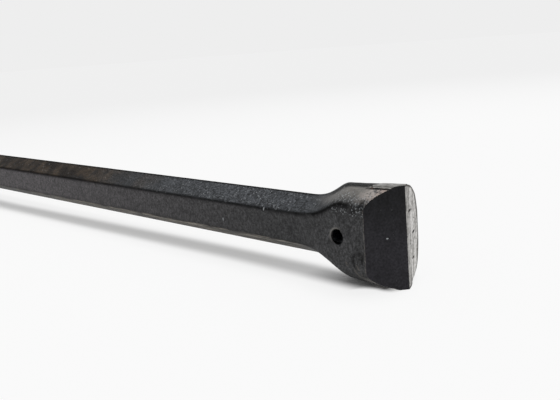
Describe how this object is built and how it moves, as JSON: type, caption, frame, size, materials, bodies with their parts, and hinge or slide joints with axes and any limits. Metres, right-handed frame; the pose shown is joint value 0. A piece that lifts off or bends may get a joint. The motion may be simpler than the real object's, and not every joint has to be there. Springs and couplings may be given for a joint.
{
  "type": "integral drill rod",
  "caption": "Hollow hexagonal rock drill steel with a forged shank collar and a forged chisel head that carries one brazed hard-metal insert.",
  "frame": {"origin": "middle of the collar's stop face, on the axis of the hexagonal steel and its flushing bore", "axes": "+X along the rod from the collar to the cutting edge, +Z along the upright cutting edge, -Y towards the side of the head that has the flat and the flushing port"},
  "size_m": [0.908, 0.0372, 0.04],
  "materials": {
    "drill_steel": "forged and rolled alloy steel under a thin black dip lacquer, oiled, scuffed and dusty",
    "carbide_insert": "ground tungsten carbide, satin grey on its gauge ends",
    "braze_seam": "dull copper-coloured braze with dark flux residue"
  },
  "bodies": {
    "root": {"drill_steel": "drill_steel", "carbide_insert": "carbide_insert", "braze_seam": "braze_seam"}
  },
  "joints": []
}
